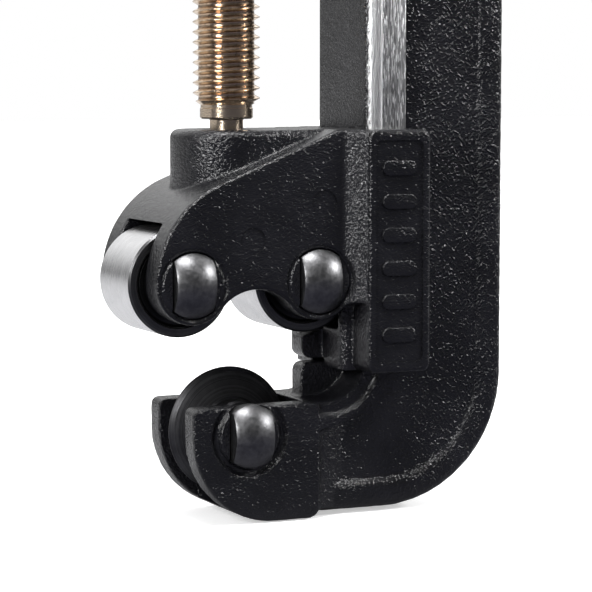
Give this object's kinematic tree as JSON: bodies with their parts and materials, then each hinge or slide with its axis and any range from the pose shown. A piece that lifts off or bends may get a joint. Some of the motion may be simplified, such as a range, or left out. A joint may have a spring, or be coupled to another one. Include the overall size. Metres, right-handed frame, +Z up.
{
  "type": "screw-feed pipe cutter",
  "caption": "Screw-feed pipe cutter: C-frame with cutting wheel in a forked jaw, roller slide on a machined rail, threaded feed screw and fluted handle.",
  "frame": {"origin": "centre of the footprint, on the level of the lower jaw's flat underside", "axes": "+Z up along the feed screw towards the handle, +X from the open throat to the spine, +Y across the tool towards the axle rings (axle heads face -Y)"},
  "size_m": [0.0612, 0.0316, 0.1555],
  "materials": {
    "black_paint": "semi-gloss black paint on a cast surface, coarse hammered grain on the spine",
    "axle_steel": "dark burnished steel",
    "wheel_steel": "dark tempered tool steel, brighter at the cutting edge",
    "spring_steel": "plain spring steel",
    "ground_steel": "fine ground, bright",
    "black_oxide": "black oxide",
    "screw_metal": "pale yellow passivated, rolled thread",
    "nut_brass": "turned brass",
    "grip_plastic": "fine-grained black moulding"
  },
  "bodies": {
    "frame": {"frame": "black_paint", "spindle_nut": "nut_brass", "wheel_axle": "axle_steel", "wheel_axle_ring": "spring_steel"},
    "cutting_wheel": {"cutting_wheel": "wheel_steel"},
    "slide": {"slide": "black_paint", "thrust_ball": "ground_steel", "spindle_keeper_pin": "spring_steel", "left_roller_axle": "axle_steel", "left_roller_axle_ring": "spring_steel", "right_roller_axle": "axle_steel", "right_roller_axle_ring": "spring_steel"},
    "left_roller": {"left_roller": "ground_steel", "left_roller_bush": "black_oxide"},
    "right_roller": {"right_roller": "ground_steel", "right_roller_bush": "black_oxide"},
    "feed_screw": {"spindle": "screw_metal", "handle": "grip_plastic", "handle_washer": "spring_steel", "handle_screw": "axle_steel", "handle_cap": "grip_plastic"}
  },
  "joints": [
    {"name": "wheel_spin", "type": "hinge", "parent": "frame", "child": "cutting_wheel", "pos_m": [-0.0126, 0, 0.013], "axis": [0, 1, 0], "continuous": true},
    {"name": "slide_travel", "type": "slide", "parent": "frame", "child": "slide", "axis": [0, 0, 1], "range_m": [-0.00045, 0.0273]},
    {"name": "left_roller_spin", "type": "hinge", "parent": "slide", "child": "left_roller", "pos_m": [-0.0226, 0, 0.0358], "axis": [0, 1, 0], "continuous": true},
    {"name": "right_roller_spin", "type": "hinge", "parent": "slide", "child": "right_roller", "pos_m": [-0.0026, 0, 0.0358], "axis": [0, 1, 0], "continuous": true},
    {"name": "screw_turn", "type": "hinge", "parent": "slide", "child": "feed_screw", "pos_m": [-0.0126, 0, 0.0591], "axis": [0, 0, 1], "range_deg": [-110, 6555]}
  ],
  "couplings": [
    {"joint": "screw_turn", "follows": "slide_travel", "rad_per_m": 4188.8}
  ]
}
